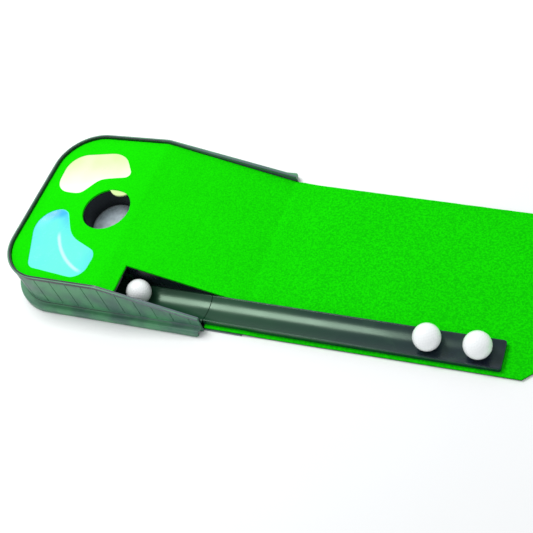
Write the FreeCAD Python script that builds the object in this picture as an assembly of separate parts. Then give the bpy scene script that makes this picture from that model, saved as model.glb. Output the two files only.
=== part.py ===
"""Practice putting mat with a gravity ball return: moulded wedge base, turf, inserts, gutter and balls."""

import FreeCAD, Part
import math
import os

from FreeCAD import Vector

# Overall sizes, millimetres. +X runs from the hole end to the player's end, +Z is up, the floor is z = 0.
mat_length = 1830.0
base_width = 330.0
rim_height = 85.0
flange_proud = 12.0

# The moulded base, lengths measured from the outer face of its end wall.
far_wall_length = 438.0
near_wall_length = 380.0
base_length = 447.0
crest_from_end = 206.0
ramp_foot_from_end = 436.0
flat_after_foot = 4.0
rim_end_height = 18.0
corner_radius = 80.0
crest_radius = 30.0
ramp_foot_radius = 15.0
step_radius = 90.0
wall = 3.0
rim_width = 4.5
rim_bead_proud = 0.8
rim_bead_height = 5.0
rim_groove_width = 1.2
rim_groove_depth = 0.9
rim_above_turf = 5.0
deck_thickness = 2.5
rib_thickness = 2.0
long_rib_y = (-40.0, 30.0, 100.0)
cross_rib_from_crest = (50.0, 120.0)
foot_rib_from_crest = 60.0
rib_start = 6.0
shell_clearance = 0.5
tongue_thickness = 1.5
tongue_proud = 2.0
tongue_root = 40.0
flange_height = 12.0
flange_skin = 2.5
flange_nose_radius = 4.0
flange_hollow_radius = 4.0
flange_end_radius = 11.0
groove_pitch = 31.0
groove_from_near_end = 17.0
groove_above_flange = 6.0
groove_width = 1.6
groove_depth = 0.9

# The turf laminate.
turf_pile = 3.5
turf_backing = 1.5
turf_edge_gap = 0.5
flap_gap = 1.0
strip_width = 276.0
narrowing_from_end = 888.0
far_taper_end_from_end = 920.0
step_down_lead = 6.0
step_down_length = 26.0
end_corner_radius = 14.0
taper_corner_radius = 60.0

# Cup, inserts and the ball.
ball_diameter = 42.7
hole_from_end = 149.0
hole_radius = 44.0
cup_wall = 2.0
cup_flange_width = 4.0
cup_flange_thickness = 1.2
cup_depth = 46.0
cup_floor_slope = 4.0
cup_floor_round = 6.0
cup_gate_drop = 5.0
cup_set_back = 1.0
insert_skin = 1.5
insert_flange_width = 5.0
insert_flange_thickness = 1.2
insert_depth = 3.0
insert_below_pile = 1.0
insert_rim_width = 1.2
tab_radius = 25.5
tab_centre = (8.0, 58.0)
pin_radius = 1.5
pin_count = 3
pin_reach = 3.0
pin_lug_radius = 5.0
push_nut_radius = 5.0
push_nut_thickness = 0.6
push_nut_gap = 0.1

# The return gutter: a closed chute, an open trough in the base and a loose track.
track_centre_y = -130.0
track_width = 50.0
track_length = 478.0
gutter_slope = 0.6
gutter_depth = 5.8
gutter_skin = 1.9
trough_joint_gap = 1.0
trough_above_ears = 5.7
trough_head_room = 8.0
trough_side_gap = 1.0
trough_below_bead = 2.0
track_skin = 2.0
track_corner_radius = 4.0
well_from_end = 234.0
chute_inner_width = 50.0
chute_wall_height = 34.0
chute_top_drop = 2.0

# Fits and fasteners.
fit_gap = 0.3
screw_radius = 1.6
screw_hole_gap = 0.1
screw_head_radius = 3.4
screw_head_height = 2.2
recess_reach = 2.0
recess_half_width = 0.4
recess_depth = 1.0
boss_radius = 4.5
ear_margin = 1.75
chute_ear_pitch = 24.0
trough_ear_lead = 14.0
trough_ear_pitch = 38.0
rest_inset = 12.0
ear_above_chute = 3.0
screw_length = 10.0
foot_disc_radius = 8.0
foot_disc_thickness = 2.0
foot_inset = 28.0
foot_from_far_end = 40.0
foot_seat_rim = 2.0
foot_seat_thickness = 4.0
foot_web_height = 14.0
strip_pocket_depth = 0.8
strip_end_margin = 13.0
strip_rear_gap = 2.5
strip_from_foot = 40.0
rear_strip_width = 9.0
ramp_strip_width = 16.0
overlap = 1.0

# Balls as laid out: distance of each centre from the track's free end.
ball_from_track_end = {"golf_ball_1": 602.0, "golf_ball_2": 112.0, "golf_ball_3": 37.0}

# Outlines of the two hazards: corners (x, y, radius) of a rounded loop, x from the hole's centre.
sand_corners = [
    (-124, 28, 32), (-68, 27, 22), (-44, 64, 34), (18, 76, 10), (-20, 131, 44), (-128, 113, 40)]
water_corners = [
    (-92, -140, 20), (-134, -28, 42), (-76, -6, 22), (-40, -66, 60), (24, -92, 22), (21, -151, 26)]

# Values worked out from the sizes above.
half_width = base_width / 2
end_x = -mat_length / 2 + flange_proud
hole_x = end_x + hole_from_end
crest_x = end_x + crest_from_end
ramp_foot_x = end_x + ramp_foot_from_end
flat_x = ramp_foot_x + flat_after_foot
near_end_x = end_x + near_wall_length
far_end_x = end_x + far_wall_length
base_end_x = end_x + base_length
well_x = end_x + well_from_end
mat_end_x = mat_length / 2
turf_thickness = turf_pile + turf_backing
deck_z = rim_height - rim_above_turf - turf_thickness
tongue_z = shell_clearance + tongue_thickness
turf_half = half_width - rim_width - turf_edge_gap
strip_half = strip_width / 2
well_far_y = track_centre_y + track_width / 2 + trough_side_gap
trough_end_x = near_end_x - trough_joint_gap
track_start_x = near_end_x
track_end_x = track_start_x + track_length
channel_z = turf_thickness + 2 * fit_gap + track_skin
lip_z = channel_z + gutter_depth
ball_radius = ball_diameter / 2
cup_inner_radius = hole_radius + cup_set_back
cup_outer_radius = cup_inner_radius + cup_wall
turf_hole_radius = hole_radius + turf_edge_gap
above_all = rim_height + 5.0
cup_floor_z = deck_z + turf_thickness - cup_depth
chute_start_y = -(cup_outer_radius + fit_gap)
far_beyond = 500.0


def tangent_arc(before, corner, after, radius):
    """Start, middle and finish of the arc that rounds a corner."""
    inward = (before - corner).normalize()
    outward = (after - corner).normalize()
    half_turn = (math.pi - inward.getAngle(outward)) / 2
    reach = radius * math.tan(half_turn)
    bisector = (inward + outward).normalize()
    middle = corner + bisector * (radius / math.cos(half_turn) - radius)
    return corner + inward * reach, middle, corner + outward * reach


def rounded_path(points, radii):
    """Edges through points, each inner corner replaced by a tangent arc of the radius given."""
    edges = []
    here = points[0]
    for before, corner, after, radius in zip(points, points[1:], points[2:], radii):
        start, middle, finish = tangent_arc(before, corner, after, radius)
        edges.append(Part.LineSegment(here, start).toShape())
        edges.append(Part.Arc(start, middle, finish).toShape())
        here = finish
    edges.append(Part.LineSegment(here, points[-1]).toShape())
    return edges


def rounded_loop(points, radii):
    """Closed wire through points, every corner replaced by a tangent arc."""
    befores = points[-1:] + points[:-1]
    afters = points[1:] + points[:1]
    arcs = [tangent_arc(*corner) for corner in zip(befores, points, afters, radii)]
    edges = []
    for arc, following in zip(arcs, arcs[1:] + arcs[:1]):
        edges.append(Part.Arc(*arc).toShape())
        edges.append(Part.LineSegment(arc[2], following[0]).toShape())
    return Part.Wire(edges)


def deck_line(rise):
    """Edges of the deck's side view, raised by rise: plateau, ramp, tongue."""
    points = [Vector(x, 0, z + rise) for x, z in (
        (end_x - far_beyond, deck_z), (crest_x, deck_z), (ramp_foot_x, tongue_z), (base_end_x, tongue_z))]
    return rounded_path(points, (crest_radius, ramp_foot_radius))


def mat_line(rise):
    """Edges of the underside of the mat, raised by rise: over the deck, off the tongue, along the floor."""
    points = [Vector(x, 0, z + rise) for x, z in (
        (end_x - far_beyond, deck_z), (crest_x, deck_z), (ramp_foot_x, tongue_z),
        (base_end_x + step_down_lead, tongue_z),
        (base_end_x + step_down_lead + step_down_length, 0), (mat_end_x + far_beyond, 0))]
    return rounded_path(points, (crest_radius, ramp_foot_radius, step_radius, step_radius))


def rim_line(rise):
    """Edges of the top of the rim in side view, raised by rise."""
    points = [Vector(x, 0, z + rise) for x, z in (
        (end_x - far_beyond, rim_height), (crest_x, rim_height),
        (far_end_x + overlap, rim_end_height))]
    return rounded_path(points, (crest_radius,))


def slab(line, top, bottom):
    """Solid between the side-view line raised by top and by bottom, across the whole width."""
    upper, lower = line(top), line(bottom)
    first = Part.LineSegment(lower[0].Vertexes[0].Point, upper[0].Vertexes[0].Point).toShape()
    last = Part.LineSegment(lower[-1].Vertexes[-1].Point, upper[-1].Vertexes[-1].Point).toShape()
    face = Part.Face(Part.Wire(Part.__sortEdges__(upper + lower + [first, last])))
    face.translate(Vector(0, -base_width, 0))
    return face.extrude(Vector(0, 2 * base_width, 0))


def below(line, top, floor):
    """Solid from the level floor up to the side-view line raised by top."""
    upper = line(top)
    start, finish = upper[0].Vertexes[0].Point, upper[-1].Vertexes[-1].Point
    low_start, low_finish = Vector(start.x, 0, floor), Vector(finish.x, 0, floor)
    sides = [Part.LineSegment(a, b).toShape() for a, b in (
        (start, low_start), (low_start, low_finish), (low_finish, finish))]
    face = Part.Face(Part.Wire(Part.__sortEdges__(upper + sides)))
    face.translate(Vector(0, -base_width, 0))
    return face.extrude(Vector(0, 2 * base_width, 0))


def box(x0, x1, y0, y1, z0, z1):
    return Part.makeBox(x1 - x0, y1 - y0, z1 - z0, Vector(x0, y0, z0))


def cylinder(x, y, radius, z0, z1):
    return Part.makeCylinder(radius, z1 - z0, Vector(x, y, z0))


def u_path(offset, near_x, far_x):
    """The plan line of the end wall and both side walls, moved outwards by offset."""
    side = half_width + offset
    points = [Vector(near_x, -side, 0), Vector(end_x - offset, -side, 0),
              Vector(end_x - offset, side, 0), Vector(far_x, side, 0)]
    radius = corner_radius + offset
    return rounded_path(points, (radius, radius))


def plan_area(offset, right_x, height):
    """Upright prism inside the wall line moved outwards by offset, as far as right_x."""
    edges = u_path(offset, right_x, right_x)
    close = Part.LineSegment(edges[-1].Vertexes[-1].Point, edges[0].Vertexes[0].Point).toShape()
    return Part.Face(Part.Wire(edges + [close])).extrude(Vector(0, 0, height))


def u_band(outer, inner, height):
    """Upright prism between two wall lines: the end wall and both side walls."""
    outside, inside = (u_path(o, near_end_x, far_end_x) for o in (outer, inner))
    near = Part.LineSegment(inside[0].Vertexes[0].Point, outside[0].Vertexes[0].Point).toShape()
    far = Part.LineSegment(inside[-1].Vertexes[-1].Point, outside[-1].Vertexes[-1].Point).toShape()
    face = Part.Face(Part.Wire(Part.__sortEdges__(outside + inside + [near, far])))
    return face.extrude(Vector(0, 0, height))


def hazard_outline(corners, z):
    return rounded_loop([Vector(hole_x + x, y, z) for x, y, _ in corners], [radius for _, _, radius in corners])


def hazard(corners, grow, z0, z1):
    """Upright prism of a hazard's outline, grown outwards by grow."""
    wire = hazard_outline(corners, z0)
    if grow:
        wire = wire.makeOffset2D(grow)
    return Part.Face(wire).extrude(Vector(0, 0, z1 - z0))


def pin_places(corners):
    """Centres of an insert's pins: evenly spaced round its outline, just clear of the tray."""
    ring = hazard_outline(corners, 0).makeOffset2D(push_nut_radius + fit_gap)
    return [(point.x, point.y) for point in ring.discretize(Number=pin_count + 1)[:-1]]


def along_wall(section):
    """Solid of a closed section (out from the wall line, z) run along the near, end and far walls."""
    inner_x = end_x + corner_radius
    inner_y = half_width - corner_radius
    near_face = section(Vector(inner_x, -half_width, 0), Vector(0, -1, 0))
    end_face = section(Vector(end_x, -inner_y, 0), Vector(-1, 0, 0))
    far_face = section(Vector(inner_x, half_width, 0), Vector(0, 1, 0))
    quarter = -90
    runs = [near_face.extrude(Vector(near_end_x - inner_x, 0, 0)),
            near_face.revolve(Vector(inner_x, -inner_y, 0), Vector(0, 0, 1), quarter),
            end_face.extrude(Vector(0, 2 * inner_y, 0)),
            end_face.translated(Vector(0, 2 * inner_y, 0)).revolve(
                Vector(inner_x, inner_y, 0), Vector(0, 0, 1), quarter),
            far_face.extrude(Vector(far_end_x - inner_x, 0, 0))]
    return runs[0].fuse(runs[1:]).removeSplitter()


def flange_section(origin, outward):
    """The stepped-out foot: a rounded nose, a flat top, then a hollow that runs up into the wall."""
    low = shell_clearance
    top = low + flange_height
    nose, hollow = flange_nose_radius, flange_hollow_radius
    mid = 1 - math.sqrt(0.5)

    def place(out, z):
        return origin + outward * out + Vector(0, 0, z)

    nose_arc = Part.Arc(
        place(flange_proud, top - nose), place(flange_proud - nose * mid, top - nose * mid),
        place(flange_proud - nose, top))
    hollow_arc = Part.Arc(place(hollow, top), place(hollow * mid, top + hollow * mid), place(0, top + hollow))
    inside = [place(-wall, top + hollow), place(-wall, top - flange_skin),
              place(flange_proud - nose, top - flange_skin), place(flange_proud - flange_skin, top - nose),
              place(flange_proud - flange_skin, low), place(flange_proud, low)]
    lines = list(zip(inside, inside[1:]))
    lines += [(place(flange_proud, low), nose_arc.StartPoint), (nose_arc.EndPoint, hollow_arc.StartPoint),
              (hollow_arc.EndPoint, inside[0])]
    edges = [Part.LineSegment(a, b).toShape() for a, b in lines]
    edges += [nose_arc.toShape(), hollow_arc.toShape()]
    return Part.Face(Part.Wire(Part.__sortEdges__(edges)))


def wall_stations():
    """(point, outward direction) along the wall line, one groove pitch apart."""
    path = Part.Wire(u_path(0, near_end_x + groove_pitch - groove_from_near_end, far_end_x))
    points = path.discretize(Distance=groove_pitch)
    stations = []
    for before, point, after in zip(points, points[1:], points[2:]):
        along = (after - before).normalize()
        stations.append((point, Vector(along.y, -along.x, 0)))
    return stations


def groove_cutters():
    """Thin upright blades that score the outside of the wall."""
    blades = []
    for point, outward in wall_stations():
        blade = Part.makeBox(2 * groove_depth, groove_width, rim_height, Vector(
            -groove_depth, -groove_width / 2, shell_clearance + flange_height + groove_above_flange))
        blade.rotate(Vector(0, 0, 0), Vector(0, 0, 1), math.degrees(math.atan2(outward.y, outward.x)))
        blade.translate(Vector(point.x, point.y, 0))
        blades.append(blade)
    keep = below(rim_line, -rim_bead_height, 0)
    return Part.makeCompound(blades).common(keep)


def flange_end_cutters():
    """Corner pieces that round off the free ends of the flange in plan."""
    edge = half_width + flange_proud
    cutters = []
    for x, side in ((near_end_x, -1), (far_end_x, 1)):
        centre_y = side * (edge - flange_end_radius)
        corner = box(x - flange_end_radius, x + overlap, min(centre_y, side * (edge + overlap)),
                     max(centre_y, side * (edge + overlap)), 0, rim_height)
        cutters.append(corner.cut(cylinder(x - flange_end_radius, centre_y, flange_end_radius, 0, rim_height)))
    return cutters


def foot_places():
    """Centres of the rubber feet beside the walls."""
    y = half_width - foot_inset
    return [(end_x + corner_radius / 2, -y), (end_x + corner_radius / 2, y), (crest_x + foot_rib_from_crest, y),
            (far_end_x - foot_from_far_end, y)]


def rib_foot():
    """The foot under the rib nearest the gutter."""
    return crest_x + foot_rib_from_crest, long_rib_y[0] + rib_thickness / 2


def chute_ears():
    side = chute_inner_width / 2 + cup_wall + boss_radius + ear_margin
    return [(hole_x - side, chute_start_y - boss_radius - ear_margin),
            (hole_x + side, chute_start_y - boss_radius - 2 * ear_margin),
            (hole_x + side, chute_start_y - boss_radius - 2 * ear_margin - chute_ear_pitch)]


def trough_ears():
    y = well_far_y + boss_radius + 2 * ear_margin
    return [(well_x - trough_ear_lead, y), (well_x - trough_ear_lead - trough_ear_pitch, y)]


def trough_rests():
    """Centres of the two posts that carry the trough's end on the tongue."""
    return [(near_end_x - rest_inset, track_centre_y + side * rest_inset) for side in (-1, 1)]


def tilt(shape):
    """Tips a gutter piece about its free end so that it rises towards the base."""
    return shape.rotated(Vector(track_end_x, 0, channel_z), Vector(0, 1, 0), gutter_slope)


def gutter_rise(x):
    return (track_end_x - x) * math.tan(math.radians(gutter_slope))


def chute_floor_z(y):
    """Top of the chute's floor: from the cup's outlet down to just above the trough's lip."""
    start_z = cup_floor_z - chute_top_drop - cup_outer_radius * math.tan(math.radians(cup_floor_slope))
    finish_z = lip_z + gutter_rise(hole_x - chute_inner_width) + cup_wall + 2 * fit_gap
    share = (chute_start_y - y) / (chute_start_y - well_far_y)
    return start_z + (finish_z - start_z) * share


def ear_z():
    """Underside of the screw ears on the chute and the trough."""
    return chute_floor_z(chute_start_y) + ear_above_chute


def hook_strip_boxes():
    """name: (x0, x1, y0, y1) of each hook-and-loop strip let into the deck."""
    inner_y = half_width - corner_radius
    ramp_y0, ramp_y1 = well_far_y + strip_end_margin, half_width - rim_width - strip_end_margin
    rear_x = end_x + rim_width + strip_rear_gap
    crest_strip_x = crest_x + crest_radius / 2
    foot_strip_x = ramp_foot_x - strip_from_foot
    return {"hook_strip_rear": (rear_x, rear_x + rear_strip_width, -inner_y, inner_y),
            "hook_strip_crest": (crest_strip_x, crest_strip_x + ramp_strip_width, ramp_y0, ramp_y1),
            "hook_strip_foot": (foot_strip_x, foot_strip_x + ramp_strip_width, ramp_y0, ramp_y1)}


def hook_strip(bounds, gap):
    """A strip flush with the deck's surface, gap smaller than its pocket all round."""
    x0, x1, y0, y1 = bounds
    area = box(x0 + gap, x1 - gap, y0 + gap, y1 - gap, 0, rim_height)
    return slab(deck_line, 0, -strip_pocket_depth).common(area)


def foot_web(x, y):
    """The upright web that ties a foot's seat to the side wall."""
    outer_y = math.copysign(half_width, y)
    return box(x - rib_thickness / 2, x + rib_thickness / 2, min(y, outer_y), max(y, outer_y),
               foot_disc_thickness, foot_disc_thickness + foot_web_height)


def make_base_shell():
    top = rim_height + overlap
    walls = u_band(0, -wall, top).common(below(rim_line, 0, shell_clearance))
    bead = u_band(rim_bead_proud, -rim_width, top).common(slab(rim_line, 0, -rim_bead_height))
    groove = u_band((rim_groove_width - rim_width) / 2, -(rim_groove_width + rim_width) / 2, top)
    bead = bead.cut(groove.common(slab(rim_line, overlap, -rim_groove_depth)))
    deck = plan_area(-wall / 2, base_end_x, top).common(slab(deck_line, 0, -deck_thickness))
    deck = deck.cut([box(well_x, base_end_x + overlap, -half_width, well_far_y, tongue_z, top),
                     box(near_end_x, base_end_x + overlap, -half_width, -turf_half - tongue_proud, -top, top)])
    low = shell_clearance
    tongue = box(near_end_x - tongue_root, base_end_x, -turf_half - tongue_proud, well_far_y + wall, low,
                 tongue_z)
    tongue = tongue.fuse(box(ramp_foot_x - tongue_root / 2, base_end_x, well_far_y, turf_half, low, tongue_z))
    well_side = box(well_x, ramp_foot_x + 2 * wall, well_far_y, well_far_y + deck_thickness, low, top)
    ribs = [box(crest_x + rib_start, ramp_foot_x, y, y + rib_thickness, low, top) for y in long_rib_y]
    ribs += [box(crest_x + x, crest_x + x + rib_thickness, well_far_y, half_width - overlap, low, top)
             for x in cross_rib_from_crest]
    bosses = [cylinder(x, y, boss_radius, ear_z() + cup_wall, top) for x, y in chute_ears() + trough_ears()]
    feet = [cylinder(x, y, foot_disc_radius + foot_seat_rim, foot_disc_thickness,
                     foot_disc_thickness + foot_seat_thickness) for x, y in foot_places() + [rib_foot()]]
    space = below(deck_line, -deck_thickness / 2, low)
    within_walls = plan_area(-wall / 2, base_end_x, top)
    struts = [part.common(space) for part in [well_side] + ribs + bosses]
    struts += [foot_web(x, y).common(space).common(within_walls) for x, y in foot_places()]
    shell = walls.fuse([bead, deck, tongue, along_wall(flange_section)] + struts + feet)
    under, over = deck_z - 2 * deck_thickness, deck_z + overlap
    cuts = [hazard(points, fit_gap, under, over) for points in (sand_corners, water_corners)]
    cuts += [cylinder(hole_x, 0, cup_outer_radius + fit_gap, under, over),
             cylinder(hole_x, 0, cup_outer_radius + cup_flange_width + fit_gap, deck_z - cup_flange_thickness,
                      over)]
    cuts += [cylinder(x, y, pin_radius + fit_gap, under, over)
             for x, y in pin_places(sand_corners) + pin_places(water_corners)]
    cuts += [cylinder(x, y, screw_radius + screw_hole_gap, ear_z(), ear_z() + screw_length + overlap)
             for x, y in chute_ears() + trough_ears()]
    cuts.append(cylinder(*rib_foot(), foot_disc_radius + fit_gap, 0, foot_disc_thickness))
    cuts += [hook_strip(bounds, 0) for bounds in hook_strip_boxes().values()]
    return shell.cut(cuts + flange_end_cutters() + [groove_cutters()]).removeSplitter()


def mat_plan(z0, z1):
    """Plan of the turf: full width over the base and beside the track, then the narrower putting strip."""
    narrow_x = end_x + narrowing_from_end
    step = turf_half - strip_half
    left = end_x + rim_width + turf_edge_gap
    points = [Vector(narrow_x, -turf_half, z0), Vector(left, -turf_half, z0), Vector(left, turf_half, z0),
              Vector(far_end_x, turf_half, z0), Vector(end_x + far_taper_end_from_end, strip_half, z0),
              Vector(mat_end_x, strip_half, z0), Vector(mat_end_x, -strip_half, z0),
              Vector(narrow_x + step, -strip_half, z0)]
    inner_corner = corner_radius - rim_width - turf_edge_gap
    radii = (inner_corner, inner_corner, taper_corner_radius, taper_corner_radius, end_corner_radius,
             end_corner_radius)
    edges = rounded_path(points, radii)
    edges.append(Part.LineSegment(points[-1], points[0]).toShape())
    return Part.Face(Part.Wire(edges)).extrude(Vector(0, 0, z1 - z0))


def mat_layer(bottom, top, grow):
    """One layer of the laminate; grow widens the hazard openings."""
    plan = mat_plan(-overlap, above_all)
    well = box(well_x, flat_x, -half_width, well_far_y, -overlap, above_all)
    main = slab(mat_line, top, bottom).common(plan.cut(well))
    flap = box(near_end_x + flap_gap, flat_x, -turf_half, well_far_y, tongue_z + bottom, tongue_z + top)
    openings = [hazard(points, grow, deck_z - overlap, above_all) for points in (sand_corners, water_corners)]
    openings.append(cylinder(hole_x, 0, turf_hole_radius, deck_z - overlap, above_all))
    return main.fuse(flap).cut(openings).removeSplitter()


def make_turf():
    return mat_layer(turf_backing, turf_thickness, 0)


def make_backing():
    """The rubber backing, with room for the flanges of the inserts and the sand insert's round tab."""
    layer = mat_layer(0, turf_backing, insert_flange_width + fit_gap)
    tab_x, tab_y = tab_centre
    rooms = [cylinder(hole_x + tab_x, tab_y, tab_radius + fit_gap, deck_z - overlap, above_all)]
    rooms += [cylinder(x, y, pin_lug_radius + fit_gap, deck_z - overlap, above_all)
              for x, y in pin_places(sand_corners) + pin_places(water_corners)]
    return layer.cut(rooms)


def make_insert(corners, extra):
    """A dished tray nearly flush with the turf, hung in the deck by a flange with moulded pins."""
    flange_top = deck_z + insert_flange_thickness
    rim_z = deck_z + turf_thickness - insert_below_pile
    floor_z = rim_z - insert_depth
    flange = hazard(corners, insert_flange_width, deck_z, flange_top).fuse(extra)
    places = pin_places(corners)
    lugs = [cylinder(x, y, pin_lug_radius, deck_z, flange_top) for x, y in places]
    stems = [cylinder(x, y, pin_radius, deck_z - deck_thickness - pin_reach, flange_top) for x, y in places]
    spigot = hazard(corners, -fit_gap, deck_z - deck_thickness, rim_z)
    dish = hazard(corners, -fit_gap - insert_rim_width, floor_z, rim_z + overlap)
    under = hazard(corners, -fit_gap - insert_skin, deck_z - deck_thickness - overlap, floor_z - insert_skin)
    return spigot.fuse([flange] + lugs + stems).cut([dish, under]).removeSplitter()


def make_sand_insert():
    tab_x, tab_y = tab_centre
    tab = cylinder(hole_x + tab_x, tab_y, tab_radius, deck_z, deck_z + insert_flange_thickness)
    return make_insert(sand_corners, [tab])


def make_water_insert():
    return make_insert(water_corners, [])


def make_push_nuts(corners):
    """Spring washers pushed up the pins to just under the deck."""
    z_top = deck_z - deck_thickness - push_nut_gap
    return Part.makeCompound([
        cylinder(x, y, push_nut_radius, z_top - push_nut_thickness, z_top).cut(
            cylinder(x, y, pin_radius, z_top - 2 * push_nut_thickness, z_top + overlap))
        for x, y in pin_places(corners)])


def make_cup():
    """A round cup hung in the deck by its flange, its floor sloping to an outlet on the near side."""
    inner, outer = cup_inner_radius, cup_outer_radius
    slope = math.tan(math.radians(cup_floor_slope))
    bottom_z = cup_floor_z - outer * slope - cup_wall
    body = cylinder(hole_x, 0, outer, bottom_z, deck_z)
    flange = cylinder(hole_x, 0, outer + cup_flange_width, deck_z - cup_flange_thickness, deck_z)
    reach, over = outer + overlap, deck_z + overlap
    side = [Vector(0, -reach, cup_floor_z - reach * slope), Vector(0, reach, cup_floor_z + reach * slope),
            Vector(0, reach, over), Vector(0, -reach, over)]
    above_floor = Part.Face(Part.makePolygon(side + side[:1])).extrude(Vector(2 * outer, 0, 0))
    above_floor.translate(Vector(hole_x - outer, 0, 0))
    hollow = cylinder(hole_x, 0, inner, bottom_z, over).common(above_floor)
    floor_edges = [edge for edge in hollow.Edges if edge.BoundBox.ZMax < cup_floor_z + outer * slope]
    hollow = hollow.makeFillet(cup_floor_round, floor_edges)
    half_gate = chute_inner_width / 2 - cup_wall
    gate = box(hole_x - half_gate, hole_x + half_gate, -reach, -inner / 2, bottom_z,
               cup_floor_z + ball_diameter - cup_gate_drop)
    return body.fuse(flange).cut([hollow, gate.common(above_floor)]).removeSplitter()


def make_chute():
    """The closed-in slope that carries a ball from the cup's outlet to the trough."""
    half = chute_inner_width / 2
    finish_y = well_far_y + fit_gap
    z0, z1 = chute_floor_z(chute_start_y), chute_floor_z(finish_y)
    outline = [Vector(0, chute_start_y, z0 - cup_wall), Vector(0, finish_y, z1 - cup_wall),
               Vector(0, finish_y, z1 + chute_wall_height), Vector(0, chute_start_y, z0 + chute_wall_height)]
    y0, y1 = chute_start_y + overlap, finish_y - overlap
    hollow_side = [Vector(0, y0, chute_floor_z(y0)), Vector(0, y1, chute_floor_z(y1)), Vector(0, y1, deck_z),
                   Vector(0, y0, deck_z)]
    body = Part.Face(Part.makePolygon(outline + outline[:1])).extrude(Vector(2 * (half + cup_wall), 0, 0))
    body.translate(Vector(hole_x - half - cup_wall, 0, 0))
    hollow = Part.Face(Part.makePolygon(hollow_side + hollow_side[:1])).extrude(Vector(2 * half, 0, 0))
    hollow.translate(Vector(hole_x - half, 0, 0))
    ears = []
    for x, y in chute_ears():
        inner_x = hole_x + math.copysign(half + cup_wall / 2, x - hole_x)
        arm = box(min(x, inner_x), max(x, inner_x), y - boss_radius, y + boss_radius, ear_z(),
                  ear_z() + cup_wall)
        ears.append(arm.fuse(cylinder(x, y, boss_radius, ear_z(), ear_z() + cup_wall)))
    holes = [cylinder(x, y, screw_radius + 2 * screw_hole_gap, 0, deck_z) for x, y in chute_ears()]
    return body.fuse(ears).cut([hollow] + holes).removeSplitter()


def gutter_section(skin):
    """Cross-section of the shallow gutter, looking along X, as a face at x = 0."""
    half = track_width / 2
    inner_half = track_width / 2 - skin
    lip = lip_z
    points = [Vector(0, track_centre_y + y, z) for y, z in (
        (-half, lip), (-inner_half, lip), (0, channel_z), (inner_half, lip), (half, lip),
        (half, lip - skin), (inner_half, lip - skin), (0, channel_z - skin), (-inner_half, lip - skin),
        (-half, lip - skin))]
    edges = [Part.LineSegment(points[0], points[1]), Part.Arc(points[1], points[2], points[3]),
             Part.LineSegment(points[3], points[4]), Part.LineSegment(points[4], points[5]),
             Part.LineSegment(points[5], points[6]), Part.Arc(points[6], points[7], points[8]),
             Part.LineSegment(points[8], points[9]), Part.LineSegment(points[9], points[0])]
    return Part.Face(Part.Wire([edge.toShape() for edge in edges]))


def along_x(face, x0, x1):
    solid = face.extrude(Vector(x1 - x0, 0, 0))
    solid.translate(Vector(x0, 0, 0))
    return solid


def trough_head_x():
    """The trough's closed end, beyond the foot of the chute."""
    return hole_x - chute_inner_width / 2 - cup_wall - trough_head_room


def make_trough():
    """The fixed gutter: a head that catches the ball from the chute, a tunnel, then the open well."""
    head = trough_head_x()
    near_y = -half_width + rim_width + trough_side_gap
    far_y = well_far_y - fit_gap
    low, high = lip_z - gutter_skin, ear_z() + cup_wall + trough_above_ears
    chute_edge_x = hole_x + chute_inner_width / 2 + cup_wall + trough_side_gap
    gutter = along_x(gutter_section(gutter_skin), head, trough_end_x)
    parts = [box(head, trough_end_x, track_centre_y + track_width / 2 - overlap, far_y, low, lip_z),
             box(head, trough_end_x, near_y, track_centre_y - track_width / 2 + overlap, low, lip_z),
             box(head, trough_end_x, near_y, near_y + gutter_skin, low, high),
             box(head - gutter_skin, head, near_y, far_y, channel_z - gutter_skin, high),
             box(chute_edge_x, well_x, far_y - gutter_skin, far_y, low, high)]
    trough = tilt(gutter.fuse(parts))
    trough = trough.common(below(rim_line, -rim_bead_height - trough_below_bead, shell_clearance))
    for x, y in trough_rests():
        rest = cylinder(x, y, boss_radius, tongue_z, channel_z + gutter_rise(x) + gutter_skin)
        trough = trough.fuse(rest.cut(tilt(along_x(gutter_fill(), head, trough_end_x))))
    for x, y in trough_ears():
        arm = box(x - boss_radius, x + boss_radius, far_y - overlap, y, ear_z(), ear_z() + cup_wall)
        ear = arm.fuse(cylinder(x, y, boss_radius, ear_z(), ear_z() + cup_wall))
        trough = trough.fuse(ear.cut(cylinder(x, y, screw_radius + 2 * screw_hole_gap, 0, deck_z)))
    return trough.removeSplitter()


def gutter_fill():
    """Section of the space above the gutter's running surface."""
    inner_half = track_width / 2 - gutter_skin
    points = [Vector(0, track_centre_y + y, z) for y, z in (
        (-inner_half, lip_z), (0, channel_z), (inner_half, lip_z))]
    arc = Part.Arc(*points).toShape()
    return Part.Face(Part.Wire([arc, Part.LineSegment(points[2], points[0]).toShape()]))


def make_track():
    """The loose gutter that lies on the turf, skirted at the sides and closed by a stop at its free end."""
    half = track_width / 2
    gutter = along_x(gutter_section(track_skin), track_start_x, track_end_x)
    skirts = [box(track_start_x, track_end_x, y, y + track_skin, 0, lip_z)
              for y in (track_centre_y - half, track_centre_y + half - track_skin)]
    stop = box(track_end_x - track_skin, track_end_x, track_centre_y - half, track_centre_y + half, 0, lip_z)
    body = gutter.fuse(skirts + [stop]).removeSplitter()
    body = body.makeFillet(track_corner_radius, [edge for edge in body.Edges if is_end_corner(edge)])
    turf_top = turf_thickness + fit_gap
    beyond_base = box(flat_x, mat_end_x, -base_width, base_width, -overlap, rim_height)
    turf_below = [below(mat_line, turf_top, -overlap).common(beyond_base),
                  box(track_start_x - overlap, flat_x, -base_width, base_width, -overlap, tongue_z + turf_top)]
    return tilt(body).cut(turf_below)


def is_end_corner(edge):
    """True for an upright outer edge at the track's free end."""
    a, b = edge.Vertexes[0].Point, edge.Vertexes[-1].Point
    side = abs(a.y - track_centre_y) - track_width / 2
    return max(abs(side), abs(a.y - b.y), abs(a.x - track_end_x), abs(b.x - track_end_x)) < 0.01


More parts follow.
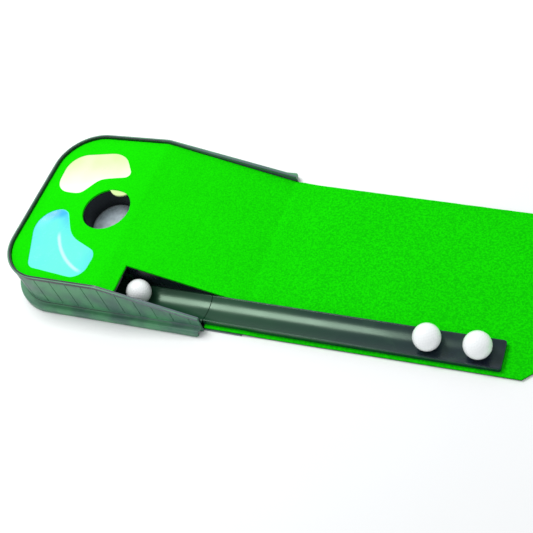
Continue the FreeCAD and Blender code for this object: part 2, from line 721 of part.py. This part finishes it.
def make_screw(x, y):
    """A pan-head screw that points up through an ear, with a cross recess in its head."""
    seat_z = ear_z()
    head = cylinder(x, y, screw_head_radius, seat_z - screw_head_height, seat_z)
    shank = cylinder(x, y, screw_radius, seat_z - screw_head_height / 2, seat_z + screw_length)
    face_z = seat_z - screw_head_height
    recess = [box(x - a, x + a, y - b, y + b, face_z - overlap, face_z + recess_depth)
              for a, b in ((recess_reach, recess_half_width), (recess_half_width, recess_reach))]
    return head.fuse(shank).cut(recess)


def make_ball(from_track_end):
    centre = Vector(track_end_x - from_track_end, track_centre_y, channel_z + fit_gap + ball_radius)
    return tilt(Part.makeSphere(ball_radius, centre))


def main():
    parts = {
        "base_shell": make_base_shell(),
        "putting_turf": make_turf(),
        "turf_backing": make_backing(),
        "sand_insert": make_sand_insert(),
        "water_insert": make_water_insert(),
        "sand_push_nuts": make_push_nuts(sand_corners),
        "water_push_nuts": make_push_nuts(water_corners),
        "cup": make_cup(),
        "return_chute": make_chute(),
        "outlet_trough": make_trough(),
        "return_track": make_track(),
        "chute_screws": Part.makeCompound([make_screw(x, y) for x, y in chute_ears()]),
        "trough_screws": Part.makeCompound([make_screw(x, y) for x, y in trough_ears()]),
        "rubber_feet": Part.makeCompound([
            cylinder(x, y, foot_disc_radius, 0, foot_disc_thickness) for x, y in foot_places() + [rib_foot()]]),
    }
    for name, bounds in hook_strip_boxes().items():
        parts[name] = hook_strip(bounds, fit_gap)
    for name, from_track_end in ball_from_track_end.items():
        parts[name] = make_ball(from_track_end)
    os.makedirs("parts", exist_ok=True)
    for name, shape in parts.items():
        print(name, "solids", len(shape.Solids), "valid", shape.isValid(), "cm3", round(shape.Volume / 1000, 2))
        shape.exportStep("parts/" + name + ".step")


main()
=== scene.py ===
import math
import bmesh
import bpy
from mathutils import Matrix, Vector, kdtree, noise


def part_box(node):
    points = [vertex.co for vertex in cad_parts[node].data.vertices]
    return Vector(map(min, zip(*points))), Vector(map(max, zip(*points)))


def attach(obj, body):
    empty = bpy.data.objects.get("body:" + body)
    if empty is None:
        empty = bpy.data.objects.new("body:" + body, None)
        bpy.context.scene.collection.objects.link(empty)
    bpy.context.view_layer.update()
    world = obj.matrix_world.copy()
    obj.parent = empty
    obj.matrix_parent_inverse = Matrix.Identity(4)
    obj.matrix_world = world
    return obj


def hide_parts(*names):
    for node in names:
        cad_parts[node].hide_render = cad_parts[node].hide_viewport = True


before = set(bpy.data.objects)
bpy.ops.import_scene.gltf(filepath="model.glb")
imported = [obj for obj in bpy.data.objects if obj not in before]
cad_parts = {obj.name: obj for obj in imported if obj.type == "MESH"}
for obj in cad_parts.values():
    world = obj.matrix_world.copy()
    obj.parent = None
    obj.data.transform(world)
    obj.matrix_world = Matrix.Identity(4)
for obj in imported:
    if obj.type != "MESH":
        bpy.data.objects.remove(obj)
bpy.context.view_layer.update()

# Looks of the practice putting mat, in metres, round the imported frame.

# Mesh work on the copies of the CAD nodes.
weld_gap = 1e-6
cut_tolerance = 1e-7
flat_angle = 0.5
upward = 0.3
level = 0.99

# Pile of the turf.
turf_cell = 0.004
pile_wave = 0.00035
pile_wave_scale = 110.0
# Dark tufts thin out towards the hole end, a painted highlight on the plateau.
speckle_calm_x = -0.80
speckle_full_x = -0.35
speckle_calm = 0.16
speckle_full = 0.52
tuft_share = 0.7

# Backing foam.
backing_cell = 0.02

# Hazard trays.
tray_cell = 0.0025
floor_drop = (0.002, 0.0035)
sand_slope = 0.030
sand_drift_height = 0.0006
sand_drift_scale = 30.0
# The closed end of the sand tray is darkened as painted shade.
sand_end_width = 0.05
sand_end_shade = 0.35
tab_reach = (0.046, 0.054)
water_slope = 0.024
# Where the water tray is painted bluer as shade: its far bank and its tips.
far_bank_tilt = 0.16
far_bank_width = (0.065, 0.020)
tip_width = 0.040
# The ridge is raised and also painted pale as a highlight.
ridge_centre_from_hole = (0.056, -0.006)
ridge_radius = 0.136
ridge_half_width = 0.0038
ridge_height = 0.0006
ridge_angles = (202.0, 254.0)
ridge_fade_angle = 6.0

# Wall plan of the base, for the textured outside, whose colour is painted pale as lit plastic.
wall_corner_radius = 0.080
wall_half_width = 0.165
textured_from = -0.0015
bead_from = 0.0004
bead_lowest = 0.0138
edge_round = 0.0007
rim_inner_edge = 0.1602
# Stretch of the rim along the ramp that is painted lighter as a highlight.
ramp_rim_from = -0.72
ramp_rim_full = -0.62

# Golf balls.
dimple_count = 336
dimple_radius = 0.00185
dimple_depth = 0.00022
ball_detail = 7
ball_turn = 1.1

# Where most of a noise field's values lie.
noise_low = 0.3
noise_high = 0.7

# Viewpoint: from the free end of the return track, at the camera's height above the floor.
camera_from_track = (0.2209, -0.8548)
camera_height = 1.2405
camera_azimuth = 37.46
camera_elevation = 49.80
camera_roll = -22.86
camera_lens = 65.5
sensor_width = 36.0

# Studio.
floor_size = 12.0
floor_below = 0.0005
floor_blotch_scale = 2.0
world_color = (0.95, 0.98, 1.0)
world_strength = 0.70
softbox_place = (-1.5, 0.45, 2.4)
softbox_size = (1.3, 1.0)
softbox_power = 48.0


def surface(name, color, roughness, specular=0.5, metallic=0.0):
    """A new node material: returns it with its node tree and its main shader."""
    material = bpy.data.materials.new(name)
    material.use_nodes = True
    tree = material.node_tree
    shader = tree.nodes["Principled BSDF"]
    shader.inputs["Base Color"].default_value = (*color, 1)
    shader.inputs["Roughness"].default_value = roughness
    shader.inputs["Specular IOR Level"].default_value = specular
    shader.inputs["Metallic"].default_value = metallic
    return material, tree, shader


def feed(tree, socket, value):
    """Gives a socket a value, or links it when the value is another node's output."""
    if isinstance(value, bpy.types.NodeSocket):
        tree.links.new(value, socket)
    elif socket.type == "RGBA":
        socket.default_value = (*value, 1)
    else:
        socket.default_value = value


def add(tree, kind, settings=None, **inputs):
    """A new node with its settings and input values or links."""
    node = tree.nodes.new(kind)
    for key, value in (settings or {}).items():
        setattr(node, key, value)
    for key, value in inputs.items():
        feed(tree, node.inputs[key.replace("_", " ")], value)
    return node


def place(tree):
    """Coordinates in metres in the frame."""
    return add(tree, "ShaderNodeTexCoord").outputs["Object"]


def split(tree, vector):
    """The outputs X, Y and Z of a vector."""
    return add(tree, "ShaderNodeSeparateXYZ", Vector=vector).outputs


def grain(tree, scale, detail=3.0, roughness=0.55):
    """A noise field from 0 to 1."""
    return add(tree, "ShaderNodeTexNoise", Vector=place(tree), Scale=scale, Detail=detail,
               Roughness=roughness).outputs["Fac"]


def ramp(tree, field, stops):
    """Colours picked along a field: stops are (place, colour)."""
    node = add(tree, "ShaderNodeValToRGB", Fac=field)
    while len(node.color_ramp.elements) < len(stops):
        node.color_ramp.elements.new(1.0)
    for element, (spot, color) in zip(node.color_ramp.elements, stops):
        element.position = spot
        element.color = (*color, 1)
    return node.outputs["Color"]


def mixed(tree, factor, a, b):
    """Two colours mixed by a factor."""
    node = add(tree, "ShaderNodeMix", {"data_type": "RGBA"})
    factor_socket, first, second = (node.inputs[i] for i in (0, 6, 7))
    feed(tree, factor_socket, factor)
    feed(tree, first, a)
    feed(tree, second, b)
    return node.outputs[2]


def span(tree, field, low, high, new_low=0.0, new_high=1.0):
    """A field stretched from one range to another."""
    return add(tree, "ShaderNodeMapRange", Value=field, From_Min=low, From_Max=high, To_Min=new_low,
               To_Max=new_high).outputs["Result"]


def varied(tree, low, high, scale, detail=3.0):
    """A value that drifts between two limits over the surface."""
    return span(tree, grain(tree, scale, detail), noise_low, noise_high, low, high)


def mottled(tree, dark, light, scale, detail=3.0, stops=(noise_low, noise_high)):
    """A colour that drifts between two over the surface."""
    return ramp(tree, grain(tree, scale, detail), [(stops[0], dark), (stops[1], light)])


def bump(tree, shader, fields, rounded=0.0):
    """Small relief: fields are (height field, depth in metres); rounded softens sharp edges."""
    normal = None
    if rounded:
        normal = add(tree, "ShaderNodeBevel", {"samples": 6}, Radius=rounded).outputs["Normal"]
    for field, depth in fields:
        node = add(tree, "ShaderNodeBump", Height=field, Distance=depth, Strength=1.0)
        if normal:
            tree.links.new(normal, node.inputs["Normal"])
        normal = node.outputs["Normal"]
    tree.links.new(normal, shader.inputs["Normal"])


def calc(tree, operation, *values):
    """A maths node on fields or numbers."""
    node = add(tree, "ShaderNodeMath", {"operation": operation})
    for socket, value in zip(node.inputs, values):
        feed(tree, socket, value)
    return node.outputs["Value"]


def length(tree, a, b):
    """Length of the hypotenuse over two fields."""
    return calc(tree, "SQRT", calc(tree, "ADD", calc(tree, "POWER", a, 2.0), calc(tree, "POWER", b, 2.0)))


def facing(tree, axis, low, high):
    """0 to 1 as the surface's normal along an axis goes from low to high."""
    normal = add(tree, "ShaderNodeNewGeometry").outputs["Normal"]
    return span(tree, split(tree, normal)[axis], low, high)


def from_cup(tree):
    """Distance from the cup's axis, in plan."""
    low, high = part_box("cup")
    spot = split(tree, place(tree))
    along = calc(tree, "ABSOLUTE", calc(tree, "SUBTRACT", spot["X"], (low[0] + high[0]) / 2))
    across = calc(tree, "ABSOLUTE", calc(tree, "SUBTRACT", spot["Y"], (low[1] + high[1]) / 2))
    return length(tree, along, across)


def flange_reach():
    """How far the flange stands out from the wall line."""
    low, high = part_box("base_shell")
    return (high[1] - low[1]) / 2 - wall_half_width


def lit_textured_outside(tree):
    """1 on the outside of the walls and the flange, where the colour is painted pale as lit plastic; 0 inside,
    on the rim's bead and in the hollow where the wall meets the flange, which stays dark as a painted shade
    line.
    """
    end_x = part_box("base_shell")[0][0] + flange_reach()
    spot = split(tree, place(tree))
    side = calc(tree, "ABSOLUTE", spot["Y"])
    across = calc(tree, "SUBTRACT", side, wall_half_width - wall_corner_radius)
    along = calc(tree, "SUBTRACT", end_x + wall_corner_radius, spot["X"])
    corner = length(tree, calc(tree, "MAXIMUM", across, 0.0), calc(tree, "MAXIMUM", along, 0.0))
    outwards = calc(tree, "SUBTRACT", corner, wall_corner_radius)
    outside = calc(tree, "GREATER_THAN", outwards, textured_from)
    # This mask also takes in the hollow above the flange, which is left dark as a painted shade line in the
    # crease.
    bead_and_root_shade = calc(tree, "MULTIPLY", calc(tree, "GREATER_THAN", outwards, bead_from),
                calc(tree, "GREATER_THAN", spot["Z"], bead_lowest))
    return calc(tree, "SUBTRACT", outside, bead_and_root_shade)


def gutter_material():
    """Dark glossy plastic: green near the base, darkening to blue-black at the free end as painted shade,
    faintly worn.
    """
    green, shaded_navy, lit_and_worn = (0.008, 0.045, 0.022), (0.006, 0.009, 0.024), (0.030, 0.075, 0.045)
    tint = (0.70, 1.0, 0.76)
    flow_scale, wear_scale, gloss_scale, relief_scale = 14.0, 24.0, 20.0, 40.0
    relief = 0.00002
    material, tree, shader = surface("gutter_plastic", green, roughness=0.22, specular=0.5)
    low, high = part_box("return_track")
    # Painted shade: the colour darkens from green to blue-black towards the free end, where the highlight
    # along the gutter fades.
    painted_shade_drift = calc(tree, "ADD", span(tree, split(tree, place(tree))["X"], low[0], high[0]),
                 varied(tree, -0.12, 0.12, flow_scale, detail=4.0))
    color = ramp(tree, painted_shade_drift, [(0.1, green), (0.9, shaded_navy)])
    wear = span(tree, grain(tree, wear_scale), 0.55, 0.70, 0.0, 0.3)
    feed(tree, shader.inputs["Base Color"], mixed(tree, wear, color, lit_and_worn))
    feed(tree, shader.inputs["Specular Tint"], tint)
    feed(tree, shader.inputs["Roughness"], varied(tree, 0.20, 0.25, gloss_scale, detail=1.0))
    bump(tree, shader, [(grain(tree, relief_scale, detail=1.0), relief)], edge_round)
    return material


def base_material():
    """The base's plastic: dark and polished on the rim and inside; the spark-textured outside is painted a
    pale teal as lit plastic, and the rim along the ramp a lighter grey as a painted highlight.
    """
    lit_slate, green = (0.058, 0.150, 0.110), (0.080, 0.290, 0.135)
    deep, gloss, lit_and_worn = (0.006, 0.010, 0.014), (0.012, 0.018, 0.024), (0.085, 0.125, 0.135)
    wall_scale, rim_scale, rough_scale, smooth_scale, relief_scale = 22.0, 30.0, 60.0, 90.0, 900.0
    relief = 0.00005
    material, tree, shader = surface("base_plastic", green, roughness=0.4)
    outside = lit_textured_outside(tree)
    # Painted light: the pale teal of the outside walls stands for walls lit from the camera's side; the
    # plastic itself is the dark colour used inside.
    lit_walls = mottled(tree, lit_slate, green, wall_scale, stops=(0.34, 0.62))
    spot = split(tree, place(tree))
    # Painted highlight: the rim along the ramp is mixed to a lighter grey where it catches the light.
    ramp_rim_highlight = calc(tree, "MULTIPLY", span(tree, spot["X"], ramp_rim_from, ramp_rim_full),
                   calc(tree, "GREATER_THAN", calc(tree, "ABSOLUTE", spot["Y"]), rim_inner_edge))
    rim = mixed(tree, ramp_rim_highlight, mottled(tree, deep, gloss, rim_scale), lit_and_worn)
    feed(tree, shader.inputs["Base Color"], mixed(tree, outside, rim, lit_walls))
    rough = calc(tree, "MULTIPLY", outside, varied(tree, 0.40, 0.52, rough_scale))
    inside = calc(tree, "SUBTRACT", 1.0, outside)
    smooth = calc(tree, "MULTIPLY", inside, varied(tree, 0.24, 0.32, smooth_scale))
    feed(tree, shader.inputs["Roughness"], calc(tree, "ADD", rough, smooth))
    bump(tree, shader, [(grain(tree, relief_scale, detail=2.0), relief)], edge_round)
    return material


def cup_material():
    """Dark polished plastic whose upward faces are painted grey in patches, as the floor lit through the hole,
    and are rougher there.
    """
    deep, gloss, lit_and_worn = (0.003, 0.004, 0.007), (0.006, 0.008, 0.013), (0.40, 0.48, 0.53)
    flow_scale, scuff_scale, relief_scale = 40.0, 35.0, 1200.0
    relief = 0.00002
    material, tree, shader = surface("cup_plastic", gloss, roughness=0.3, specular=0.35)
    scuffs = span(tree, grain(tree, scuff_scale), 0.3, 0.6, 0.55, 1.0)
    # Painted light: upward faces turn grey where the floor is lit from above; the noise breaks this into
    # patches.
    lit_and_scuffed_floor = calc(tree, "MULTIPLY", facing(tree, "Z", 0.55, 1.0), scuffs)
    feed(tree, shader.inputs["Base Color"], mixed(tree, lit_and_scuffed_floor, mottled(tree, deep, gloss, flow_scale), lit_and_worn))
    feed(tree, shader.inputs["Roughness"], span(tree, lit_and_scuffed_floor, 0.0, 1.0, 0.26, 0.42))
    bump(tree, shader, [(grain(tree, relief_scale, detail=2.0), relief)], edge_round)
    return material


def turf_material():
    """Short bright green pile: fine dark tufts over a clear green, fewer of them round the hole, so the raised
    end reads lighter as a painted highlight.
    """
    light, dark = (0.0085, 0.75, 0.0015), (0.002, 0.30, 0.004)
    tuft_scale, clump_scale, patch_scale, gloss_scale = 340.0, 210.0, 9.0, 300.0
    blade_scale, blade_height, row_scale, row_height = 700.0, 0.0009, 260.0, 0.0006
    patch_shade = 0.93
    material, tree, shader = surface("turf_pile", light, roughness=0.9, specular=0.0)
    tufts = span(tree, grain(tree, tuft_scale, detail=2.0, roughness=0.6), 0.56, 0.44)
    clumps = span(tree, grain(tree, clump_scale, detail=2.0, roughness=0.6), 0.60, 0.42)
    speckle = calc(tree, "ADD", calc(tree, "MULTIPLY", tufts, tuft_share),
                   calc(tree, "MULTIPLY", clumps, 1 - tuft_share))
    # Painted highlight: fewer dark tufts on the plateau round the hole make it read brighter.
    strength = span(tree, split(tree, place(tree))["X"], speckle_calm_x, speckle_full_x, speckle_calm,
                    speckle_full)
    patches = mottled(tree, tuple(patch_shade * c for c in light), light, patch_scale, detail=4.0)
    feed(tree, shader.inputs["Base Color"],
         mixed(tree, calc(tree, "MULTIPLY", speckle, strength), patches, dark))
    feed(tree, shader.inputs["Roughness"], varied(tree, 0.8, 1.0, gloss_scale))
    blades, rows = grain(tree, blade_scale, detail=2.0), grain(tree, row_scale, detail=2.0)
    bump(tree, shader, [(blades, blade_height), (rows, row_height)])
    return material


def backing_material():
    """Dark foam rubber with open cells."""
    dark, light = (0.008, 0.014, 0.010), (0.022, 0.032, 0.026)
    mottle_scale, gloss_scale, cell_scale, cell_depth = 90.0, 300.0, 900.0, 0.0004
    material, tree, shader = surface("backing_foam", light, roughness=0.9, specular=0.25)
    feed(tree, shader.inputs["Base Color"], mottled(tree, dark, light, mottle_scale, stops=(0.35, 0.65)))
    cells = add(tree, "ShaderNodeTexVoronoi", Vector=place(tree), Scale=cell_scale).outputs["Distance"]
    feed(tree, shader.inputs["Roughness"], varied(tree, 0.82, 0.96, gloss_scale))
    bump(tree, shader, [(cells, cell_depth)])
    return material


def sand_material():
    """Glossy cream plastic, a deeper cream on its far side and its closed end as painted shade, with the same
    deeper cream on its tab in the hole.
    """
    shaded_cream, pale = (0.62, 0.77, 0.34), (0.87, 0.90, 0.76)
    drift_scale, gloss_scale, relief_scale, relief = 14.0, 120.0, 420.0, 0.00004
    material, tree, shader = surface("sand_plastic", shaded_cream, roughness=0.3, specular=0.25)
    low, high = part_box("sand_insert")
    spot = split(tree, place(tree))
    # Painted shade: deeper cream towards the far side and the closed end, lighter towards the near side; near
    # the cup the tab takes the deeper cream.
    painted_shade_drift = calc(tree, "ADD", span(tree, spot["Y"], high[1], low[1]),
                 span(tree, spot["X"], low[0], low[0] + sand_end_width, -sand_end_shade, 0.0))
    painted_shade_drift = calc(tree, "ADD", painted_shade_drift, varied(tree, -0.12, 0.12, drift_scale, detail=2.0))
    painted_shade_drift = calc(tree, "MULTIPLY", painted_shade_drift, span(tree, from_cup(tree), *tab_reach))
    feed(tree, shader.inputs["Base Color"], ramp(tree, painted_shade_drift, [(0.05, shaded_cream), (0.75, pale)]))
    feed(tree, shader.inputs["Roughness"], varied(tree, 0.26, 0.36, gloss_scale))
    bump(tree, shader, [(grain(tree, relief_scale, detail=2.0), relief)])
    return material


def water_material():
    """Glossy aqua plastic: bluer on its far bank and at its two tips as painted shade, with a moulded ridge
    painted pale as a highlight.
    """
    aqua, deep, ridge_highlight_color = (0.130, 0.84, 0.66), (0.040, 0.44, 0.76), (0.50, 0.90, 0.80)
    drift_scale, gloss_scale, relief_scale, relief = 16.0, 90.0, 60.0, 0.0001
    tip_blue, drift_blue = 0.30, 0.16
    material, tree, shader = surface("water_plastic", aqua, roughness=0.25, specular=0.3)
    low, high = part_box("water_insert")
    spot = split(tree, place(tree))
    # Painted shade: the far bank's slope and the two tips are turned bluer.
    bank_from, bank_full = (high[1] - width for width in far_bank_width)
    far_bank_shade = calc(tree, "MULTIPLY", facing(tree, "Y", 0.0, -far_bank_tilt),
                    span(tree, spot["Y"], bank_from, bank_full))
    tip_shade = calc(tree, "ADD", span(tree, spot["X"], high[0] - tip_width, high[0], 0.0, tip_blue),
                span(tree, spot["X"], low[0] + tip_width, low[0], 0.0, tip_blue))
    painted_shade_drift = calc(tree, "ADD", calc(tree, "ADD", far_bank_shade, tip_shade),
                 varied(tree, 0.0, drift_blue, drift_scale, detail=1.5))
    color = ramp(tree, painted_shade_drift, [(0.0, aqua), (1.0, deep)])
    # Painted highlight: the pale colour follows the ridge's strength stored on the mesh.
    ridge = add(tree, "ShaderNodeAttribute", {"attribute_name": "ridge"}).outputs["Fac"]
    feed(tree, shader.inputs["Base Color"], mixed(tree, ridge, color, ridge_highlight_color))
    feed(tree, shader.inputs["Roughness"], varied(tree, 0.20, 0.30, gloss_scale))
    bump(tree, shader, [(grain(tree, relief_scale, detail=2.0), relief)])
    return material


def ball_material():
    """Painted and clear-coated white cover with faint scuffs."""
    white, scuff = (0.93, 0.95, 0.95), (0.80, 0.84, 0.84)
    scuff_scale, relief_scale, relief = 130.0, 900.0, 0.00002
    coat, coat_roughness = 0.6, 0.12
    material, tree, shader = surface("ball_cover", white, roughness=0.3)
    marks = span(tree, grain(tree, scuff_scale, detail=5.0, roughness=0.7), 0.62, 0.72)
    feed(tree, shader.inputs["Base Color"], mixed(tree, marks, white, scuff))
    feed(tree, shader.inputs["Roughness"], span(tree, marks, 0.0, 1.0, 0.24, 0.5))
    feed(tree, shader.inputs["Coat Weight"], coat)
    feed(tree, shader.inputs["Coat Roughness"], coat_roughness)
    bump(tree, shader, [(grain(tree, relief_scale), relief)])
    return material


def steel_material():
    """Bright zinc-plated steel."""
    dark, light = (0.42, 0.42, 0.40), (0.66, 0.66, 0.64)
    mottle_scale, gloss_scale, relief_scale, relief = 400.0, 800.0, 1500.0, 0.00003
    material, tree, shader = surface("zinc_steel", light, roughness=0.32, specular=0.5, metallic=1.0)
    feed(tree, shader.inputs["Base Color"], mottled(tree, dark, light, mottle_scale, detail=4.0))
    feed(tree, shader.inputs["Roughness"], varied(tree, 0.22, 0.42, gloss_scale))
    bump(tree, shader, [(grain(tree, relief_scale), relief)])
    return material


def tape_material():
    """Dark woven hook tape."""
    dark, light = (0.008, 0.008, 0.009), (0.04, 0.04, 0.045)
    weave_scale, weave_height = 700.0, 0.0002
    material, tree, shader = surface("hook_tape", light, roughness=0.85, specular=0.2)
    weave = add(tree, "ShaderNodeTexWave", {"wave_type": "BANDS", "bands_direction": "DIAGONAL"},
                Vector=place(tree), Scale=weave_scale, Distortion=1.0).outputs["Fac"]
    feed(tree, shader.inputs["Base Color"], ramp(tree, weave, [(0.2, dark), (0.8, light)]))
    bump(tree, shader, [(weave, weave_height)])
    return material


def foot_material():
    """Soft black rubber, slightly dusty."""
    dark, light = (0.012, 0.012, 0.012), (0.035, 0.034, 0.032)
    dust_scale, relief_scale, relief = 120.0, 900.0, 0.0001
    material, tree, shader = surface("foot_rubber", light, roughness=0.75, specular=0.3)
    feed(tree, shader.inputs["Base Color"], mottled(tree, dark, light, dust_scale, stops=(0.35, 0.7)))
    bump(tree, shader, [(grain(tree, relief_scale), relief)])
    return material


def floor_material():
    """Plain pale paper."""
    dim, bright = (0.89, 0.89, 0.89), (0.91, 0.91, 0.91)
    material, tree, shader = surface("studio_floor", (0.9, 0.9, 0.9), roughness=0.9, specular=0.1)
    feed(tree, shader.inputs["Base Color"], mottled(tree, dim, bright, floor_blotch_scale))
    return material


def new_piece(name, mesh, material, body, node=None, smooth=True):
    """An object that rides on a body, takes a slot and, if a node is named, stands for it."""
    piece = bpy.data.objects.new(name, mesh)
    bpy.context.scene.collection.objects.link(piece)
    mesh.materials.clear()
    mesh.materials.append(material)
    if smooth:
        mesh.shade_smooth()
    if node:
        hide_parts(node)
    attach(piece, body)
    return piece


def cad_copy(node):
    """A bmesh copy of a CAD node, welded, with flat faces joined into polygons."""
    mesh = bmesh.new()
    mesh.from_mesh(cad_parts[node].data)
    bmesh.ops.remove_doubles(mesh, verts=mesh.verts, dist=weld_gap)
    bmesh.ops.dissolve_limit(mesh, angle_limit=math.radians(flat_angle), verts=mesh.verts, edges=mesh.edges)
    return mesh


def gridded(mesh, cell):
    """Cuts every face of the mesh along a square grid."""
    for axis in (0, 1):
        low = min(v.co[axis] for v in mesh.verts)
        high = max(v.co[axis] for v in mesh.verts)
        normal = Vector((0, 0, 0))
        normal[axis] = 1
        faces = list(mesh.faces)
        for step in range(1, math.ceil((high - low) / cell)):
            edge = low + step * cell
            geometry = set(faces)
            for face in faces:
                geometry.update(face.edges)
                geometry.update(face.verts)
            cut = bmesh.ops.bisect_plane(mesh, geom=list(geometry), dist=cut_tolerance,
                                         plane_co=normal * edge, plane_no=normal)
            made = {g for g in cut["geom"] if isinstance(g, bmesh.types.BMFace)}
            faces = [f for f in made if max(v.co[axis] for v in f.verts) > edge + cut_tolerance]
    return mesh


def finished(mesh, name):
    """Ends a bmesh as mesh data."""
    mesh.normal_update()
    data = bpy.data.meshes.new(name)
    mesh.to_mesh(data)
    mesh.free()
    return data


def make_turf(material):
    """The pile: the CAD slab with a finely waved top."""
    mesh = gridded(cad_copy("putting_turf"), turf_cell)
    mesh.normal_update()
    for vertex in mesh.verts:
        if vertex.normal.z > upward:
            wave = noise.noise(vertex.co * pile_wave_scale) - 0.5
            vertex.co.z += pile_wave * wave
    data = finished(mesh, "turf_pile")
    piece = new_piece("turf_pile", data, material, "base", "putting_turf", smooth=False)
    return piece


def make_backing(material):
    """The foam layer under the pile."""
    mesh = gridded(cad_copy("turf_backing"), backing_cell)
    data = finished(mesh, "backing_foam")
    piece = new_piece("backing_foam", data, material, "base", "turf_backing", smooth=False)
    return piece


def make_tray(node, name, material, slope, relief):
    """A hazard tray whose floor falls from the rim in one smooth dish, with a relief of its own."""
    mesh = gridded(cad_copy(node), tray_cell)
    ridge = mesh.verts.layers.float.new("ridge")
    top = max(v.co.z for v in mesh.verts)
    floor = [f for f in mesh.faces
             if f.normal.z > level and floor_drop[0] < top - f.calc_center_median().z < floor_drop[1]]
    inside = {v for f in floor for v in f.verts}
    bottom = sum(v.co.z for v in inside) / len(inside)
    border = [v for v in inside if any(f not in floor for f in v.link_faces)]
    rim = kdtree.KDTree(len(border))
    for i, vertex in enumerate(border):
        rim.insert(vertex.co, i)
    rim.balance()
    for vertex in inside:
        reach = min(1.0, rim.find(vertex.co)[2] / slope)
        dished = math.sin(reach * math.pi / 2)
        height, ridge_highlight_strength = relief(vertex.co)
        # The ridge's painted highlight strength is stored on the mesh for the material.
        vertex[ridge] = ridge_highlight_strength * dished
        vertex.co.z = top - (top - bottom) * dished + height * dished
    bmesh.ops.remove_doubles(mesh, verts=mesh.verts, dist=weld_gap)
    return new_piece(name, finished(mesh, name), material, "base", node, smooth=True)


def sand_relief(spot):
    """A gentle drift, with no ridge highlight."""
    return sand_drift_height * noise.noise(spot * sand_drift_scale), 0.0


def water_relief(spot):
    """One soft ridge that crosses the tray in an arc: its height and the strength of its painted highlight."""
    low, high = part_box("cup")
    from_centre_x = spot.x - (low[0] + high[0]) / 2 - ridge_centre_from_hole[0]
    from_centre_y = spot.y - (low[1] + high[1]) / 2 - ridge_centre_from_hole[1]
    away = abs(math.hypot(from_centre_x, from_centre_y) - ridge_radius) / ridge_half_width
    angle = math.degrees(math.atan2(from_centre_y, from_centre_x)) % 360
    ends = min(angle - ridge_angles[0], ridge_angles[1] - angle) / ridge_fade_angle
    crest = max(0.0, 1 - away * away) * min(1.0, max(0.0, ends))
    return ridge_height * crest, crest


def dimpled_ball():
    """A golf ball centred on the origin, its dimples spread in an even spiral."""
    lows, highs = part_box("golf_ball_1")
    radius = (highs[0] - lows[0]) / 2
    mesh = bmesh.new()
    bmesh.ops.create_icosphere(mesh, subdivisions=ball_detail, radius=radius)
    golden = math.pi * (3 - math.sqrt(5))
    centres = kdtree.KDTree(dimple_count)
    for i in range(dimple_count):
        z = 1 - 2 * (i + 0.5) / dimple_count
        ring = math.sqrt(1 - z * z)
        centres.insert(radius * Vector((ring * math.cos(golden * i), ring * math.sin(golden * i), z)), i)
    centres.balance()
    for vertex in mesh.verts:
        away = centres.find(vertex.co)[2] / dimple_radius
        if away < 1:
            vertex.co *= 1 - dimple_depth * (1 - away * away) / radius
    return finished(mesh, "dimpled_ball")


def make_balls(material):
    data = dimpled_ball()
    for number in (1, 2, 3):
        node = f"golf_ball_{number}"
        low, high = (Vector(corner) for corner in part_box(node))
        name, body = f"dimpled_ball_{number}", f"ball_{number}"
        piece = new_piece(name, data.copy(), material, body, None)
        turn = Matrix.Rotation(ball_turn * number, 4, "Y")
        piece.data.transform(Matrix.Translation((low + high) / 2) @ turn)
        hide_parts(node)


def dress(node, material):
    """Gives a CAD node its material."""
    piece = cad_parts[node]
    piece.data.materials.clear()
    piece.data.materials.append(material)


def make_studio():
    """A pale floor, an even white surround and one soft light from above."""
    data = bpy.data.meshes.new("studio_floor")
    half = floor_size / 2
    corners = [(-half, -half, 0), (half, -half, 0), (half, half, 0), (-half, half, 0)]
    data.from_pydata(corners, [], [(0, 1, 2, 3)])
    floor = bpy.data.objects.new("studio_floor", data)
    floor.location.z = -floor_below
    bpy.context.scene.collection.objects.link(floor)
    data.materials.append(floor_material())
    world = bpy.data.worlds.new("studio")
    world.use_nodes = True
    background = world.node_tree.nodes["Background"]
    background.inputs["Color"].default_value = (*world_color, 1)
    background.inputs["Strength"].default_value = world_strength
    bpy.context.scene.world = world
    make_softbox()


def make_softbox():
    """One rectangular soft light that faces straight down."""
    data = bpy.data.lights.new("softbox", "AREA")
    data.shape = "RECTANGLE"
    data.size, data.size_y = softbox_size
    data.energy = softbox_power
    light = bpy.data.objects.new("softbox", data)
    light.location = softbox_place
    bpy.context.scene.collection.objects.link(light)


def make_camera():
    """The camera, at its place relative to the return track's free end."""
    azimuth, elevation, roll = (math.radians(a) for a in (camera_azimuth, camera_elevation, camera_roll))
    forward = Vector((-math.sin(azimuth) * math.cos(elevation), math.cos(azimuth) * math.cos(elevation),
                      -math.sin(elevation)))
    right = forward.cross(Vector((0, 0, 1))).normalized()
    up = right.cross(forward)
    turned_right = right * math.cos(roll) + up * math.sin(roll)
    turned_up = up * math.cos(roll) - right * math.sin(roll)
    track_end_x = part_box("return_track")[1][0]
    data = bpy.data.cameras.new("camera")
    data.lens = camera_lens
    data.sensor_width = sensor_width
    camera = bpy.data.objects.new("camera", data)
    turn = Matrix((turned_right, turned_up, -forward)).transposed().to_4x4()
    position = Vector((track_end_x + camera_from_track[0], camera_from_track[1], camera_height))
    camera.matrix_world = Matrix.Translation(position) @ turn
    bpy.context.scene.collection.objects.link(camera)
    bpy.context.scene.camera = camera


def main():
    bpy.context.scene.view_settings.view_transform = "Standard"
    make_camera()
    make_studio()
    make_turf(turf_material())
    make_backing(backing_material())
    make_tray("sand_insert", "sand_tray", sand_material(), sand_slope, sand_relief)
    make_tray("water_insert", "water_tray", water_material(), water_slope, water_relief)
    make_balls(ball_material())
    dressed = (
        (base_material(), ("base_shell", "return_chute")),
        (cup_material(), ("cup",)),
        (gutter_material(), ("outlet_trough", "return_track")),
        (steel_material(), ("sand_push_nuts", "water_push_nuts", "chute_screws", "trough_screws")),
        (tape_material(), ("hook_strip_rear", "hook_strip_crest", "hook_strip_foot")),
        (foot_material(), ("rubber_feet",)))
    for material, nodes in dressed:
        for node in nodes:
            dress(node, material)


main()
